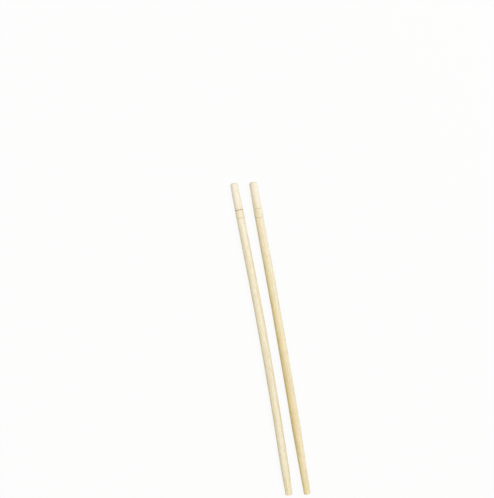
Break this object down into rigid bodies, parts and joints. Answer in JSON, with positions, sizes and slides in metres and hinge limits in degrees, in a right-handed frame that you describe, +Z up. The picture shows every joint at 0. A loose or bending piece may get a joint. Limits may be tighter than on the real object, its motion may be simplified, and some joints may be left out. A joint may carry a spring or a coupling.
{
  "type": "pair of round bamboo chopsticks",
  "caption": "Loose round chopsticks of bare bamboo lying side by side, each with a rounded butt, a slightly bowed body and a tapering, square-cut tip.",
  "frame": {"origin": "on the surface the sticks lie on, under the middle of the pair's box", "axes": "+Y along the sticks from the tips to the butts, +X across the pair from the left stick to the right one, +Z up from the surface"},
  "size_m": [0.0176, 0.2014, 0.0056],
  "materials": {
    "bamboo": "bare sanded bamboo, pale straw colour with fine straight grain, satin"
  },
  "bodies": {
    "root": {"chopstick_left": "bamboo", "chopstick_right": "bamboo"}
  },
  "joints": []
}
